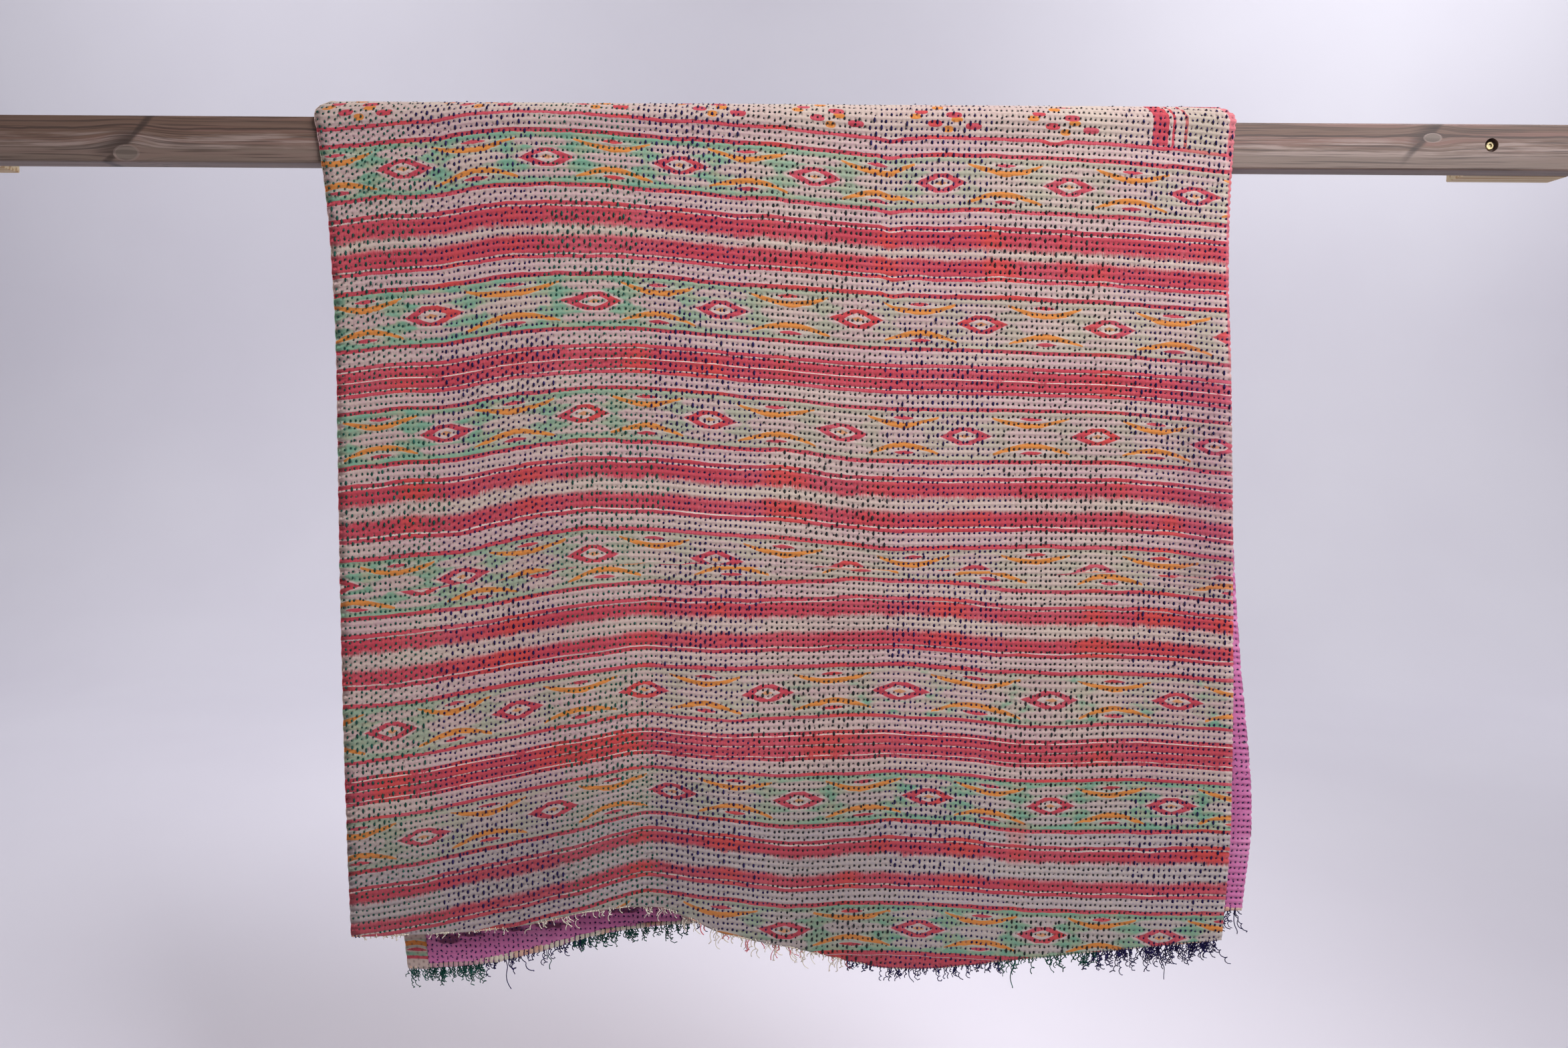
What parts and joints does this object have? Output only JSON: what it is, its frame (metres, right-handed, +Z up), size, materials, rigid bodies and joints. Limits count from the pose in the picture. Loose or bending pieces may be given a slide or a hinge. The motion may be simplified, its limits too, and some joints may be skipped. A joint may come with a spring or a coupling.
{
  "type": "kantha quilt on wall rail",
  "caption": "Old cotton quilt with running-stitch ribs, draped over a brown timber rail that stands off the wall on two spacer blocks.",
  "frame": {"origin": "on the wall plane behind the middle of the quilt, at the rail's mid height", "axes": "+X along the rail to the right as seen from the room, +Y into the wall, +Z up"},
  "size_m": [2.44, 0.1057, 1.2942],
  "materials": {
    "face_cotton": "matte",
    "backing_cotton": "matte",
    "thread": "matte",
    "stained_timber": "matte",
    "raw_timber": "matte",
    "screw_steel": "satin"
  },
  "bodies": {
    "root": {"quilt_face": "face_cotton", "quilt_backing": "backing_cotton", "fringe_front": "thread", "fringe_back": "thread", "rail": "stained_timber", "spacer_block_left": "raw_timber", "spacer_block_right": "raw_timber", "rail_screw_left": "screw_steel", "rail_screw_right": "screw_steel"}
  },
  "joints": []
}
